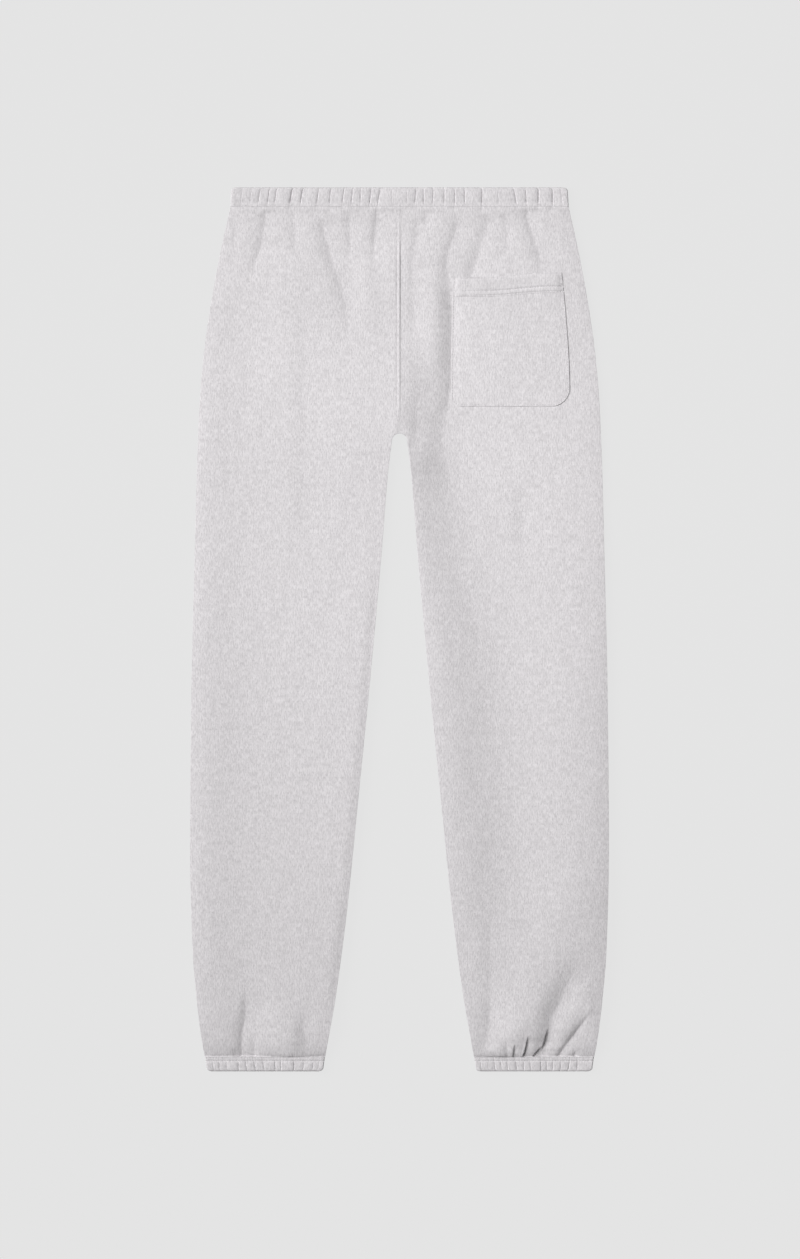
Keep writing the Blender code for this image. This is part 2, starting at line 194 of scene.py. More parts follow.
ankleFolds = [
    # right ankle: one diagonal fold and its neighbour
    ([(196, 870), (180, 912), (171, 929), (163, 947), (156, 965), (152, 985), (150, 1026)],
     4.6, 44, 26, 2.2, 110, 1),
    ([(228, 880), (211, 912), (204, 929), (195, 947), (187, 965), (180, 980), (177, 994), (174, 1006),
      (170, 1026)], -2.2, 12, 15, 1.4, 110, 1),
    ([(175.6, 990), (173.4, 1000), (171.6, 1007), (169.2, 1014), (168, 1018)], -2.4, 0.5, 12, 1.4, 12, 6),
    ([(232, 915), (220, 947), (213, 965), (203, 980), (194, 994), (186, 1010)], 1.2, 14, 12, 2.0, 50, 16),
    ([(233, 962), (221, 980), (210, 994), (201, 1006), (192, 1018), (187, 1026)], -2.2, 3.2, 12, 1.3, 34, 1),
    ([(228, 950), (224, 980), (216, 1002)], 0.8, 6, 12, 2.0, 20, 16),
    ([(153, 999), (151, 1006), (149.8, 1013), (147.8, 1021), (146, 1026)], -3.2, 0.5, 24, 1.2, 12, 1),
    ([(167, 1013), (165, 1017), (161.5, 1021), (157.5, 1026)], -2.7, 0.5, 12, 1.4, 7, 1),
    ([(166, 1004), (163, 1018), (159, 1026)], -1.6, 9, 12, 1.4, 14, 1),
    ([(136.5, 1010), (135.2, 1018), (134, 1026)], -1.8, 0.5, 6, 1.5, 8, 1),
    ([(152, 986), (148, 1006), (143, 1026)], -2.6, 14, 12, 1.4, 26, 1),
    ([(126, 1004), (127, 1026)], -1.2, 4, 4, 1.3, 14, 1),
    ([(107.5, 950), (107.5, 985), (106, 994), (103, 1006), (98, 1022)], -1.7, 9, 18, 1.5, 34, 14),
    ([(209, 1016), (206, 1026)], -1.3, 3, 3, 1.3, 8, 1),
    # left ankle
    ([(-177, 880), (-176, 940), (-174, 1000)], -0.8, 26, 24, 1.8, 70, 30),
    ([(-134, 950), (-132, 1000), (-130, 1026)], 1.5, 24, 20, 2.0, 60, 1),
    ([(-180, 945), (-181.5, 965), (-182, 980), (-185, 994), (-186, 1006), (-186, 1026)],
     -2.2, 6, 30, 1.3, 26, 1),
    ([(-186, 972), (-187, 1026)], -1.8, 44, 26, 1.2, 28, 1),
    ([(-171, 994), (-171, 1008), (-172, 1026)], -0.7, 4, 6, 1.3, 16, 1),
    ([(-112.5, 962), (-112, 980), (-113, 994), (-110.5, 1006), (-112, 1026)], -1.35, 8, 16, 1.4, 26, 22),
    ([(-194, 1014), (-192, 1026)], -0.8, 5, 4, 1.3, 8, 1),
]
# The front lies on the floor, so its folds are pressed into it.
frontFolds = [
    ([(36, 40), (40, 120), (34, 230)], 0.9, 10, 8, 1.8, 20, 50),
    ([(118, 30), (126, 80), (150, 150)], 0.7, 7, 9, 1.6, 10, 50),
    ([(-62, 28), (-70, 90), (-78, 180)], 0.8, 8, 7, 1.6, 10, 60),
    ([(-140, 30), (-150, 70), (-172, 110)], 0.7, 7, 8, 1.6, 10, 40),
    ([(40, 360), (84, 560), (118, 780), (124, 960)], 0.9, 18, 26, 2.0, 80, 80),
    ([(-46, 340), (-88, 560), (-112, 800), (-120, 970)], 0.8, 24, 16, 2.0, 80, 80),
    ([(-196, 300), (-190, 640), (-184, 900)], 0.7, 14, 22, 2.0, 90, 90),
    ([(198, 420), (196, 700)], 0.6, 20, 14, 2.0, 90, 90),
    ([(216, 900), (190, 970), (170, 1022)], 1.0, 10, 6, 1.5, 40, 2),
    ([(120, 960), (128, 1022)], 0.8, 6, 4, 1.4, 40, 2),
    ([(-210, 930), (-192, 1022)], 0.9, 8, 5, 1.4, 40, 2),
    ([(-132, 950), (-140, 1022)], 0.8, 5, 6, 1.4, 40, 2),
]


def foldRelief(x, s, folds):
    # Height in metres. A fold follows a smooth line down the cloth; across it the height falls as
    # exp(-(distance / width) ^ sharpness), and it fades out smoothly at both ends.
    x, s = x / mm, s / mm
    total = np.zeros(np.broadcast(x, s).shape)
    for line, height, left, right, sharpness, fadeTop, fadeFoot in folds:
        centre = curveThrough([(down, across) for across, down in line])
        slope = (centre(s + 1) - centre(s - 1)) / 2
        aside = (x - centre(s)) / np.sqrt(1 + slope**2)
        shape = np.exp(-(np.abs(inWidths(aside, left, right)) ** sharpness))
        fade = smoothStep((s - line[0][1]) / fadeTop) * smoothStep((line[-1][1] - s) / fadeFoot)
        total += height * fade * shape
    return total * mm


def softWaves(x, s, seed, height):
    # The cloth's own unevenness: long sine waves, mostly across the garment, at seeded slants
    rng = np.random.default_rng(seed)
    total = np.zeros(np.broadcast(x, s).shape)
    count, usual = 18, 160  # usual is about the size of the sum, so that height is the waves' own
    lengths = rng.uniform(16, 60, count), rng.uniform(50, 220, count)  # mm, across the garment and down it
    for across, along, phase in zip(*lengths, rng.uniform(0, 6.3, count)):
        slant = 1 if phase < 3.15 else -1
        total += np.sin(2 * math.pi * (x / across + slant * s / along) / mm + phase) * across
    return height * total / usual


# Casings: gathered fleece folded over an elastic, at the waist and at the leg hems.
# A pleat: x at the folded hem, x at the seam, depth, and how far its gather runs into the leg.

waist = {
    "centre": 0.0,
    "halfWidth": 0.1982,
    "flare": 0.0014,  # wider on each side at the seam
    "depth": 0.0225,
    "hemAt": 0.0,
    "way": 1,  # the seam lies further down than the hem
    "crown": 0.0008,
    "stitched": [],  # lines of stitching, up from the seam, and how far each is drawn in
    "smooth": 2.4 * mm,  # the pleats die out this near the seam
    "pleatWidths": (4.5, 1.0, 0.2, 10.0),  # mm: its soft and its sharp fall, its wall and its slow rise
    "gatherShare": 0.4,  # a gather's depth in the leg, as a share of its pleat's, and its widths in mm
    "gatherWidths": (3.6, 5.0),
    "steps": (1500, 260, 14),  # along its upper side, its under side and each end
    "cut": (1.02, 0.0225),  # its cloth laid flat
    "pleats": [
        (-185, -186, 0.5, 8), (-174, -175, 0.5, 6), (-163.4, -165.8, 0.9, 7), (-152.8, -154.3, 1.0, 6),
        (-144.2, -146.4, 1.1, 9), (-125.7, -128.4, 1.9, 14), (-113.2, -116.2, 1.6, 8),
        (-94.5, -96.8, 1.0, 14), (-80.5, -81.5, 1.1, 16), (-64.7, -66.9, 0.9, 6),
        (-54.5, -56.1, 1.1, 8), (-45.4, -45.4, 0.9, 6),
        (-32.5, -34.8, 1.3, 9), (-21.8, -25.4, 1.3, 12), (-8.0, -8.4, 0.4, 6), (9.4, 9.0, 0.4, 6),
        (20.3, 18.3, 1.0, 14), (28.9, 28.9, 0.9, 14), (40.4, 39.6, 1.0, 6), (53.6, 52.8, 0.9, 7),
        (65.8, 65.2, 1.0, 9), (77.5, 77.0, 1.0, 14), (98.1, 97.2, 1.4, 12), (116, 117, 0.4, 8),
        (135.1, 138.4, 1.1, 8), (149.3, 149.5, 1.1, 16), (164.6, 163.2, 1.8, 18), (181.1, 180.0, 1.6, 10),
        (190.5, 191.5, 0.5, 8),
    ],
}
cuffShape = {
    "halfWidth": 0.0684,
    "flare": 0.0022,
    "depth": 0.0172,
    "hemAt": garment["length"],
    "way": -1,
    "crown": 0.00056,
    "stitched": [(1.4 * mm, 0.4), (4.4 * mm, 1.5)],
    "smooth": 4.9 * mm,
    "pleatWidths": (3.4, 0.8, 0.2, 6.0),
    "gatherShare": 0.6,
    "gatherWidths": (2.4, 3.6),
    "steps": (640, 110, 14),
    "cut": (0.38, 0.0172),
}
leftCuff = dict(cuffShape, centre=-0.1587, pleats=[
    (-219, -218, 0.5, 4), (-211.6, -211, 0.7, 5), (-203, -203, 0.6, 4), (-189.3, -189, 0.8, 5),
    (-179.8, -180.6, 0.9, 4), (-169, -172, 1.0, 5), (-158.6, -161.6, 0.8, 4), (-146.1, -147, 0.9, 5),
    (-139.2, -140.5, 0.8, 4), (-124, -125, 1.1, 6), (-113.4, -113, 0.7, 5), (-102.5, -102, 0.6, 4),
    (-96, -95.6, 0.5, 4),
])
rightCuff = dict(cuffShape, centre=0.1587, pleats=[
    (97, 97.5, 0.5, 4), (105.5, 106, 0.5, 4), (113.7, 113, 0.9, 5), (121, 120.4, 0.7, 4),
    (128.3, 128, 0.9, 5), (139.1, 137.8, 1.2, 4), (146.9, 147.2, 0.7, 4), (155.5, 154.2, 0.9, 5),
    (167.9, 166.5, 1.2, 5), (174, 173.6, 0.9, 4), (181.5, 180, 0.9, 4), (190.5, 189.4, 0.9, 5),
    (199.5, 200.4, 1.1, 4), (210.2, 208.6, 1.1, 5),
])
casings = {"waistband": waist, "cuff_left": leftCuff, "cuff_right": rightCuff}
casingForm = {
    "wall": 0.0040,  # two layers folded over the elastic
    "slit": 0.0006,  # between the front and the back of the tube
    "corner": 0.0045,  # round corners where the folded hem meets the sides
    "dip": 0.0006,  # the cloth is drawn down this much along its stitching
    "dipWidths": (0.0006, 0.0018),  # towards the seam and towards the hem
    "square": 0.25,  # of the tube's pressed sides: 1 is round, less is squarer
    "pleatScale": 1.3,
    "sharpness": 1.3,
    "pleatShares": (0.5, 0.5, 0.6, 0.4),  # of a pleat's depth, for each of its widths
    "hem": (0.55, 0.3),  # a pleat's share of its depth at the folded hem, and how far up it has it all
    "seam": (0.2, 0.003),  # its share near the seam, and how far from there it has it all
    "under": (0.5, 0.96),  # the under side's pleats are shallower and a little out of line
    "rows": (30, 1.6),  # of its outer face, and how much they crowd towards the seam
    "crownLean": 0.8,  # below 1 the crown is highest nearer to the folded hem
}
halfWall = casingForm["wall"] / 2
bend = halfWall + casingForm["slit"] / 2  # radius of the wall's middle at the tube's pressed sides


def casingPoint(casing, middle, angle, out, up):
    # The tube's middle line is a long loop with half circles for ends. middle is x on its straights, angle
    # the way that its wall faces, out the place across the wall, up the distance from the folded hem. A pleat
    # falls softly and then sharply, and rises most of its depth at once and the rest slowly: sums of two
    # curves exp(-(distance / width) ^ sharpness).
    form, depth = casingForm, casing["depth"]
    across = np.sign(np.cos(angle)) * np.abs(np.cos(angle)) ** form["square"]
    over = np.sign(np.sin(angle)) * np.abs(np.sin(angle)) ** form["square"]
    outer = np.clip(out / halfWall, 0, 1)
    fraction = np.clip(up / depth, 0, 1)
    toSeam = np.clip(depth - up, 0, None)

    (hemShare, hemReach), (seamShare, seamReach) = form["hem"], form["seam"]
    gathered = (hemShare + (1 - hemShare) * smoothStep(fraction / hemReach)) * form["pleatScale"]
    gathered = gathered * (seamShare + (1 - seamShare) * smoothStep((toSeam - casing["smooth"]) / seamReach))
    underShare, underShift = form["under"]
    upper, under = np.clip(over, 0, 1), underShare * np.clip(-over, 0, 1)
    pleats = np.zeros(np.broadcast(middle, out).shape)
    for hemX, seamX, pleatDepth, _ in casing["pleats"]:
        centre = (hemX + (seamX - hemX) * fraction) * mm - casing["centre"]
        for face, aside in ((upper, middle - centre), (under, -middle - centre * underShift)):
            reach = np.abs(aside) / mm
            soft, sharp, wall, slow = [share * np.exp(-((reach / width) ** form["sharpness"]))
                                       for share, width in zip(form["pleatShares"], casing["pleatWidths"])]
            pleats += face * pleatDepth * mm * np.where(aside < 0, soft + sharp, wall + slow)
    crown = casing["crown"] * upper * np.sin(math.pi * fraction ** form["crownLean"])
    dips = 0.0
    for line, drawn in casing["stitched"]:
        dips = dips + drawn * form["dip"] * np.exp(-(inWidths(toSeam - line, *form["dipWidths"]) ** 2))
    relief = (crown - pleats * gathered - dips) * outer

    wide = 1 + (casing["flare"] * fraction - roundCut(up, form["corner"])) / casing["halfWidth"]
    x = casing["centre"] + (middle + across * (bend + out)) * wide
    y = waistY - (casing["hemAt"] + casing["way"] * up) + 0 * x
    z = halfWall + bend + over * (bend + out + relief)
    return np.stack([x, y, z], axis=-1)


def casingLoop(casing, topCount, underCount, endCount):
    # The casing's middle line: its x, the way that it faces, and the distance run along the outside
    straight = casing["halfWidth"] - halfWall - bend
    turn = np.linspace(math.pi / 2, -math.pi / 2, endCount + 2)[1:-1]
    middle = np.concatenate([
        np.linspace(-straight, straight, topCount), np.full(endCount, straight),
        np.linspace(straight, -straight, underCount), np.full(endCount, -straight),
    ])
    up, down = np.full(topCount, math.pi / 2), np.full(underCount, -math.pi / 2)
    angle = np.concatenate([up, turn, down, turn - math.pi])
    radius = bend + halfWall
    place = np.stack([middle + radius * np.cos(angle), radius * np.sin(angle)], axis=1)
    return middle, angle, runAlong(np.concatenate([place, place[:1]]))


# How the back lies: its height over the floor.

lie = {
    "rest": 0.0082,
    "lowest": 0.0047,  # a trough comes down until the back lies on the front
    "crown": 0.0005,
    "turn": 0.0050,  # rows and columns crowd this near an edge
    "backRound": 0.0001,  # how wide the back's pressed edge rounds, and how square
    "backBlunt": 2.8,
    "frontRound": 0.0042,
    "sideFall": 0.0011,  # beside its edges the cloth lies thinner, and this far in
    "sideReach": 0.0130,
    "innerFall": 0.0003,
    "innerReach": 0.0080,
    "waistLift": 0.00065,  # the casings draw the cloth beside them to their own height
    "cuffLift": 0.0003,
    "liftReach": 0.022,
    "blouse": 0.0080,  # the legs blouse this much above the cuffs, from here, and come down this fast
    "blouseFrom": 0.620,
    "blouseReach": 0.0150,
    "waves": 0.00008,
    "soft": 0.0003,  # how softly a trough flattens where it meets the front
    "frontSeam": 0.0007,  # the front's centre seam: its height and width
    "frontSeamWidth": 0.0012,
    "frontPress": 0.0012,  # the most that the floor presses into the front
}
centreSeam = {
    # x, height and widths towards -x and +x in millimetres
    "seam": (1.6, -0.70, 0.9, 7.0),
    "allowance": (-0.9, 0.25, 1.6, 1.6),
    "topstitch": (-2.5, -0.42, 1.4, 1.1),
}
# How strongly the centre seam's lines show at s
seamStrength = curveThrough([
    (0.022, 0.2), (0.050, 0.35), (0.085, 1), (0.130, 0.95), (0.180, 0.65), (0.250, 0.5), (0.280, 0),
])
pocket = {
    "top": 0.1057,
    "bottom": 0.2584,
    "left": (0.0631, 0.0608),  # x of its sides at the top and at the bottom
    "right": (0.1912, 0.2012),
    "cornerLeft": 0.011,
    "cornerRight": 0.022,
    "tilt": 0.0059,  # the mouth climbs this much towards its right end
    "tiltReach": 0.07,
    "gap": 0.0002,
    "cloth": 0.0008,
    "edgeCloth": 0.0007,  # its edge is pressed and sewn down flat
    "hemCloth": 0.0010,  # added along the mouth, where the cloth is turned down
    "hemLines": (0.0163, 0.0216),  # twin stitching, down from the mouth
    "edgeLine": 0.0018,  # stitching round the sides and the bottom, in from the outline
}


def casingGathers():
    # Each pleat runs on past its seam as a short trough, which starts under the casing
    rows = []
    top, end, under, sharpness = legTop / mm, legEnd / mm, 4, 1.3
    for casing in casings.values():
        for hemX, seamX, depth, run in casing["pleats"]:
            shape = (-casing["gatherShare"] * depth, *casing["gatherWidths"], sharpness)
            slant = (seamX - hemX) * run / (casing["depth"] / mm)
            if casing["way"] == 1:
                rows.append(([(seamX, top - under), (seamX + slant, top + run)], *shape, 1, run))
            else:
                rows.append(([(seamX + slant, end - run), (seamX, end + under)], *shape, run, 1))
    return rows


backFolds = seatFolds + legFolds + ankleFolds + casingGathers()


def backHeight(x, s):
    # Rest height, a crown across each half, a fall beside the edges, a lift beside the casings, a swell above
    # the cuffs, and the folds. Troughs flatten softly on the front: the logarithm of a sum of exponentials.
    edge, side, aside = innerEdge(s), outseam(s), np.abs(x)
    across = (aside - edge) / (side - edge)
    crown = lie["crown"] * 4 * across * (1 - across)
    fall = lie["sideFall"] * np.exp(-np.clip(side - aside, 0, None) / lie["sideReach"])
    fall = fall + lie["innerFall"] * np.exp(-np.clip(innerDistance(aside, s), 0, None) / lie["innerReach"])
    lift = lie["waistLift"] * (1 - smoothStep((s - legTop) / lie["liftReach"]))
    lift = lift + lie["cuffLift"] * (1 - smoothStep((legEnd - s) / lie["liftReach"]))
    rising = smoothStep((s - lie["blouseFrom"]) / (legEnd - lie["blouseFrom"]))
    blouse = 1 - np.exp(-np.clip(legEnd - s, 0, None) / lie["blouseReach"])
    lift = lift + lie["blouse"] * rising * blouse
    seam = 0
    for at, depth, left, right in centreSeam.values():
        seam = seam + depth * mm * np.exp(-(inWidths(x / mm - at, left, right) ** 2))
    seam = seam * seamStrength(s)
    relief = foldRelief(x, s, backFolds) + softWaves(x, s, 7, lie["waves"])
    height = lie["rest"] + crown + lift - fall + relief
    return lie["lowest"] + lie["soft"] * np.logaddexp(0, (height - lie["lowest"]) / lie["soft"]) + seam


# Meshes from grids of points.


def addObject(name, data):
    thing = bpy.data.objects.new(name, data)
    bpy.context.scene.collection.objects.link(thing)
    return thing


def makePiece(name, points, faces, uv, material):
    # A mesh whose faces look outward: the volume, a sixth of the summed triple products, is positive
    points = points.reshape(-1, 3)
    first = points[faces[:, 0]]
    volume = 0
    for i in range(1, faces.shape[1] - 1):
        volume += np.einsum("ij,ij->", first, np.cross(points[faces[:, i]], points[faces[:, i + 1]]))
    if volume < 0:
        faces, uv = faces[:, ::-1], uv[:, ::-1]
    mesh = bpy.data.meshes.new(name)
    mesh.from_pydata(points, [], faces)
    mesh.uv_layers.new(name="weave").data.foreach_set("uv", uv.ravel())
    mesh.shade_smooth()
    mesh.materials.append(material)
    return addObject(name, mesh)


def corners(grid):
    # The four corners of every cell of a grid, in order round the cell
    return np.stack([grid[:-1, :-1], grid[:-1, 1:], grid[1:, 1:], grid[1:, :-1]], axis=2)


def cellTriangles(grid):
    # Every cell of a grid of point numbers, cut in two
    cells = corners(grid).reshape(-1, 4)
    return np.concatenate([cells[:, :3], cells[:, [0, 2, 3]]])


def rimLoop(grid):
    # The point numbers round the rim of a grid, once round
    return np.concatenate([grid[0], grid[1:, -1], grid[-1, -2::-1], grid[-2:0:-1, 0]])


def makeShell(name, outer, inner, uv, material, coarse):
    # Two grids of points joined round their rims into a closed shell. The inside keeps every point, or every
    # second one, and three triangles then join each of its rim's steps to the outer rim.
    inner, innerUv = inner[::coarse, ::coarse], uv[::coarse, ::coarse]
    top = np.arange(outer[..., 0].size).reshape(outer.shape[:2])
    low = np.arange(inner[..., 0].size).reshape(inner.shape[:2]) + top.size
    rim, lowRim = rimLoop(top), rimLoop(low)
    i, k = np.arange(len(rim)), np.arange(len(lowRim))
    near = (i + coarse - 1) // coarse % len(lowRim)
    faces = np.concatenate([
        cellTriangles(top), cellTriangles(low)[:, ::-1],
        np.stack([rim, np.roll(rim, -1), lowRim[near]], axis=1),
        np.stack([rim[(k * coarse + 1) % len(rim)], np.roll(lowRim, -1), lowRim], axis=1),
    ])
    points = np.concatenate([outer.reshape(-1, 3), inner.reshape(-1, 3)])
    flat = np.concatenate([uv.reshape(-1, 2), innerUv.reshape(-1, 2)])
    return makePiece(name, points, faces, flat[faces], material)


def makeRing(name, points, uv, material):
    # A grid of points that closes on itself both ways. uv has one more row and column than the points.
    rows, columns = points.shape[:2]
    grid = np.arange(rows * columns).reshape(rows, columns)
    grid = np.pad(grid, ((0, 1), (0, 1)), mode="wrap")
    faces = corners(grid).reshape(-1, 4)
    return makePiece(name, points, faces, corners(uv).reshape(-1, 4, 2), material)


# Materials.


def linear(code):
    # An sRGB hex colour as linear light
    value = [int(code[i : i + 2], 16) / 255 for i in (1, 3, 5)]
    return [v / 12.92 if v <= 0.04045 else ((v + 0.055) / 1.055) ** 2.4 for v in value] + [1.0]


def addNode(tree, kind, settings, **links):
    # A node with its properties, then its sockets: a value is set, another node's socket is linked
    node = tree.nodes.new("ShaderNode" + kind)
    for name, value in settings.items():
        setattr(node, name, value)
    for name, value in links.items():
        socket = node.inputs[int(name[1:])] if name[0] == "i" and name[1:].isdigit() else node.inputs[name]
        if isinstance(value, bpy.types.NodeSocket):
            tree.links.new(value, socket)
        else:
            socket.default_value = value
    return node


def newMaterial(name):
    # With an empty node tree
    material = bpy.data.materials.new(name)
    material.use_nodes = True
    material.node_tree.nodes.clear()
    return material, material.node_tree


fleece = {
    "dark": "#bebbbd",  # the grey fibres of the marl
    "light": "#d3d0d2",  # the raw white cotton
    "fleck": "#a09da0",
    "fibre": (1.5, 5.4),  # mm, across and along a streak of one colour, coarser than a yarn so that it shows
    "mottle": (7.0, 12.0),  # mm, patches where the marl is unevenly blended
    "fleckSize": (1.0, 3.0),
    "mottleShare": 0.35,
    "fleckShare": 0.35,
    "nap": (0.9, 1.62),  # mm, tufts of brushed fibre
    "streakRelief": 0.6,  # how much the streaks stand out, beside the tufts
    "bump": 0.35,
    "bumpHeight": 0.0003,
}


def grains(tree, place, size, detail, low, high):
    # A pattern of 0 to 1: noise with grains of that size in millimetres, its range low to high stretched
    scaled = addNode(tree, "Mapping", {}, Vector=place, Scale=(1000 / size[0], 1000 / size[1], 1))
    noise = addNode(tree, "TexNoise", {"noise_dimensions": "2D"}, Vector=scaled.outputs[0], Scale=1.0,
                    Detail=detail, Roughness=0.6)
    return addNode(tree, "MapRange", {}, i0=noise.outputs[0], i1=low, i2=high).outputs[0]


def brushedFleece(name):
    # Heavy cotton fleece, softly brushed, in heather grey: streaks of grey fibre in white along the grain,
    # patches and a few dark flecks. Nearly matt, with a short nap that catches light at the edges.
    material, tree = newMaterial(name)
    place = addNode(tree, "UVMap", {"uv_map": "weave"}).outputs[0]

    fibres = grains(tree, place, fleece["fibre"], 2.0, 0.3, 0.7)
    mottle = grains(tree, place, fleece["mottle"], 2.0, 0.3, 0.7)
    flecks = grains(tree, place, fleece["fleckSize"], 0.0, 0.66, 0.78)
    share = fleece["mottleShare"]
    blend = addNode(tree, "Math", {"operation": "MULTIPLY_ADD"}, i0=mottle, i1=share, i2=-share / 2)
    streaks = addNode(tree, "Math", {"operation": "ADD", "use_clamp": True}, i0=fibres, i1=blend.outputs[0])
    marl = addNode(tree, "Mix", {"data_type": "RGBA"}, i0=streaks.outputs[0], i6=linear(fleece["dark"]),
                   i7=linear(fleece["light"]))
    fleckShare = addNode(tree, "Math", {"operation": "MULTIPLY"}, i0=flecks, i1=fleece["fleckShare"])
    flecked = addNode(tree, "Mix", {"data_type": "RGBA"}, i0=fleckShare.outputs[0], i6=marl.outputs[2],
                      i7=linear(fleece["fleck"]))

    nap = grains(tree, place, fleece["nap"], 2.0, 0.2, 0.8)
    tufts = addNode(tree, "Math", {"operation": "MULTIPLY_ADD"}, i0=fibres, i1=fleece["streakRelief"], i2=nap)
    bump = addNode(tree, "Bump", {}, Strength=fleece["bump"], Distance=fleece["bumpHeight"],
                   Height=tufts.outputs[0])
    shader = addNode(tree, "BsdfPrincipled", {}, **{
        "Base Color": flecked.outputs[2], "Roughness": 0.92, "IOR": 1.46, "Specular IOR Level": 0.2,
        "Sheen Weight": 0.12, "Sheen Roughness": 0.5, "Normal": bump.outputs[0],
    })
    addNode(tree, "OutputMaterial", {}, Surface=shader.outputs[0])
    return material


def spunThread(name, dark, light):
    # Spun polyester sewing thread: a little smoother than the cloth, with its twist
    material, tree = newMaterial(name)
    place = addNode(tree, "UVMap", {"uv_map": "weave"}).outputs[0]
    twist = addNode(tree, "TexWave", {"bands_direction": "DIAGONAL"}, Vector=place, Scale=900.0,
                    Distortion=0.5)
    colour = addNode(tree, "Mix", {"data_type": "RGBA"}, i0=twist.outputs[1], i6=linear(dark),
                     i7=linear(light))
    shader = addNode(tree, "BsdfPrincipled", {}, **{
        "Base Color": colour.outputs[2], "Roughness": 0.6, "Sheen Weight": 0.1, "Sheen Roughness": 0.4,
    })
    addNode(tree, "OutputMaterial", {}, Surface=shader.outputs[0])
    return material


panelFleece = brushedFleece("brushed_heather_fleece")
casingFleece = brushedFleece("gathered_heather_fleece")
# The grey thread is darker than the cloth: its own tone plus painted shade for the dips that its stitching
# draws into the cloth, so that its rows show as dark lines
greyThread = spunThread("grey_polyester_thread", "#9a9799", "#b4b1b3")
paleThread = spunThread("pale_polyester_thread", "#cbc8ca", "#dad7d9")
print("materials: ready")


# Leg panels.

panel = {
    "turnColumns": 16,  # in the turn at each side, which takes turnShare of u
    "turnShare": 0.13,
    "columns": (176, 40),  # between the turns, on the back and on the front
    "endStrip": 0.004,  # s is finely stepped this far in from each end
    "seatFrom": 0.062,  # s below the waist's gathers, and where the ankle's start
    "ankleFrom": 0.920,
    "rows": (8, 28, 72, 140, 88),  # at each end, in the gathers, in the seat, down the leg and at the ankle
}


def columnX(u, s):
    # x across a panel for u from 0, at its inner edge, to 1, at the outseam. Columns crowd as 1 - cos into
    # the turns, but not beside the centre seam.
    edge, side, turn, share = innerEdge(s), outseam(s), lie["turn"], panel["turnShare"]
    above = np.clip(crotchRadius - (s - crotch), 0, None)
    toFlat = np.sqrt(np.clip((crotchRadius + turn) ** 2 - above**2, 0, None)) - edge
    innerTurn = np.maximum(toFlat, turn)
    into = np.clip(u / share, 0, 1)
    crowded = 1 - np.cos(into * math.pi / 2)
    even = np.clip(above / crotchRadius, 0, 1)
    inner = edge + innerTurn * (crowded + (into - crowded) * even)
    outer = side - turn * (1 - np.cos(np.clip((1 - u) / share, 0, 1) * math.pi / 2))
    start, end = edge + innerTurn, side - turn
    middle = start + (end - start) * (u - share) / (1 - 2 * share)
    return np.where(u < share, inner, np.where(u > 1 - share, outer, middle))


def panelRows(coarse):
    # s of every row: close at the casings and round the crotch arch, and wider down the legs
    strip, ankle, turn = panel["endStrip"], panel["ankleFrom"], lie["turn"]
    ends, *counts = panel["rows"]
    gathers, seat, leg, foot = [count // coarse + 1 for count in counts]
    quarter = np.linspace(0, math.pi / 2, 12)
    return np.concatenate([
        np.linspace(legTop, legTop + strip, ends + 1)[:-1],
        np.linspace(legTop + strip, panel["seatFrom"], gathers)[:-1],
        np.linspace(panel["seatFrom"], crotch - turn, seat)[:-1],
        crotch - turn * (1 - np.sin(quarter[:-1])),
        crotch + crotchRadius * (1 - np.cos(quarter)),
        np.linspace(crotch + crotchRadius, ankle, leg)[1:-1],
        np.linspace(ankle, legEnd - strip, foot)[:-1],
        np.linspace(legEnd - strip, legEnd, ends + 1),
    ])


def panelPoint(x, s, side, back):
    # The outer face: from the side seam the cloth rises to the back's height, or falls to the floor, along a
    # quarter of an ellipse, or squarer
    width, power = (lie["backRound"], lie["backBlunt"]) if back else (lie["frontRound"], 2)
    flat = quarterRound(outseam(s) - x, width, power) * quarterRound(innerDistance(x, s), width, power)
    rim = garment["sideHeight"] + (1 if back else -1) * garment["seamGap"] / 2
    if back:
        height = backHeight(side * x, s)
    else:
        seam = lie["frontSeam"] * np.exp(-((x / lie["frontSeamWidth"]) ** 2))
        height = np.clip(foldRelief(side * x, s, frontFolds) + seam, 0, lie["frontPress"])
    return np.stack([side * x, waistY - s, rim + (height - rim) * flat], axis=-1)


def gridNormals(points, up):
    # Normals of a grid of points, from the slopes between neighbours. up is 1 or -1, the side that they face.
    normal = np.cross(np.gradient(points, axis=0), np.gradient(points, axis=1))
    return unit(normal * up * np.sign(normal[..., 2:].sum()))


def makeLegPanel(name, side, back, grain):
    # Seat and leg in one, from the waistband's seam to the cuff's. The inner face is the outer one moved in.
    share, coarse = panel["turnShare"], 1 if back else 2
    turn = np.linspace(0, share, panel["turnColumns"] // coarse + 1)
    middle = np.linspace(share, 1 - share, panel["columns"][coarse - 1] + 1)[1:-1]
    u, s = np.meshgrid(np.concatenate([turn, middle, 1 - turn[::-1]]), panelRows(coarse))
    x = columnX(u, s)
    outer = panelPoint(x, s, side, back)
    normal = gridNormals(outer, 1 if back else -1)
    normal[[0, -1], :, 1] = 0  # the ends are cut square
    inner = outer - unit(normal) * garment["wall"]
    for face in (outer, inner):  # the centre seam keeps the two sides apart
        face[..., 0] = side * np.maximum(side * face[..., 0], garment["seamGap"] / 2)

    run = runAlong(outer)
    half = run.shape[1] // 2
    across = x[:, half : half + 1] + run - run[:, half : half + 1]
    uv = np.stack([side * across + grain[0], grain[1] - s], axis=-1)
    piece = makeShell(name, outer, inner, uv, panelFleece, 2)
    return piece


pieces = {}
for side, word in ((-1, "left"), (1, "right")):
    pieces["front_" + word] = makeLegPanel("fleece_front_" + word, side, False, (0.9 + side * 0.2, 3.1))
    pieces["back_" + word] = makeLegPanel("fleece_back_" + word, side, True, (0.3, 1.3 + side * 0.2))
print("leg panels: made")


